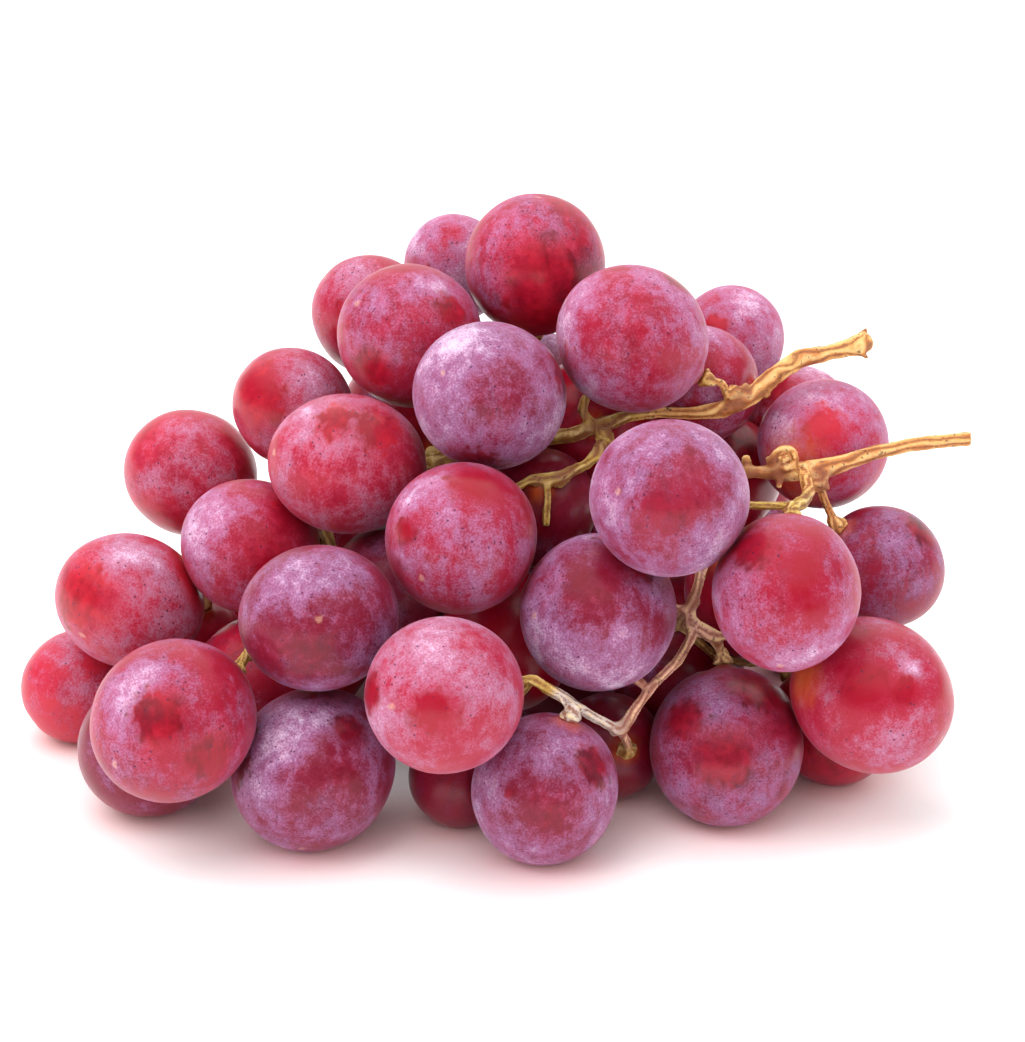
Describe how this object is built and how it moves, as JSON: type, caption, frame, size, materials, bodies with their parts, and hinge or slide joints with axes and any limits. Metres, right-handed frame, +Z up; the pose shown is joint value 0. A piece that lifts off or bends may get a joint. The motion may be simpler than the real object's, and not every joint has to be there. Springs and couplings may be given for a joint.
{
  "type": "bunch of grapes",
  "caption": "Bunch of round red table grapes on a branched stem with two cut stalk ends, lying on its side as picked.",
  "frame": {"origin": "middle of the footprint, on the table that the bunch lies on", "axes": "+X along the bunch towards the cut stalk ends, +Y from the front that the picture shows to the back, +Z up"},
  "size_m": [0.1676, 0.1282, 0.0955],
  "materials": {
    "skin_crimson": "crimson grape skin, satin, with a powdery lilac bloom",
    "skin_rose": "rose red grape skin, satin, with a thin powdery bloom",
    "skin_plum": "plum purple grape skin, satin, with a thick powdery bloom",
    "stalk": "tan to yellow green grape stem, dry and finely ribbed"
  },
  "bodies": {
    "root": {"berry_01": "skin_crimson", "berry_02": "skin_crimson", "berry_03": "skin_rose", "berry_04": "skin_crimson", "berry_05": "skin_plum", "berry_06": "skin_crimson", "berry_07": "skin_crimson", "berry_08": "skin_crimson", "berry_09": "skin_crimson", "berry_10": "skin_plum", "berry_11": "skin_rose", "berry_12": "skin_rose", "berry_13": "skin_rose", "berry_14": "skin_crimson", "berry_15": "skin_crimson", "berry_16": "skin_plum", "berry_17": "skin_plum", "berry_18": "skin_rose", "berry_19": "skin_rose", "berry_20": "skin_crimson", "berry_21": "skin_plum", "berry_22": "skin_plum", "berry_23": "skin_rose", "berry_24": "skin_plum", "berry_25": "skin_crimson", "berry_26": "skin_plum", "berry_27": "skin_rose", "berry_28": "skin_plum", "berry_29": "skin_plum", "berry_30": "skin_plum", "berry_31": "skin_crimson", "berry_32": "skin_plum", "berry_33": "skin_plum", "berry_34": "skin_plum", "berry_35": "skin_crimson", "berry_36": "skin_rose", "berry_37": "skin_crimson", "berry_38": "skin_crimson", "berry_39": "skin_plum", "berry_40": "skin_crimson", "berry_41": "skin_plum", "berry_42": "skin_plum", "berry_43": "skin_crimson", "berry_44": "skin_rose", "berry_45": "skin_crimson", "berry_46": "skin_plum", "berry_47": "skin_crimson", "berry_48": "skin_rose", "berry_49": "skin_crimson", "berry_50": "skin_rose", "berry_51": "skin_plum", "berry_52": "skin_crimson", "berry_53": "skin_plum", "berry_54": "skin_crimson", "berry_55": "skin_plum", "berry_56": "skin_crimson", "berry_57": "skin_rose", "berry_58": "skin_crimson", "berry_59": "skin_crimson", "stem": "stalk"}
  },
  "joints": []
}
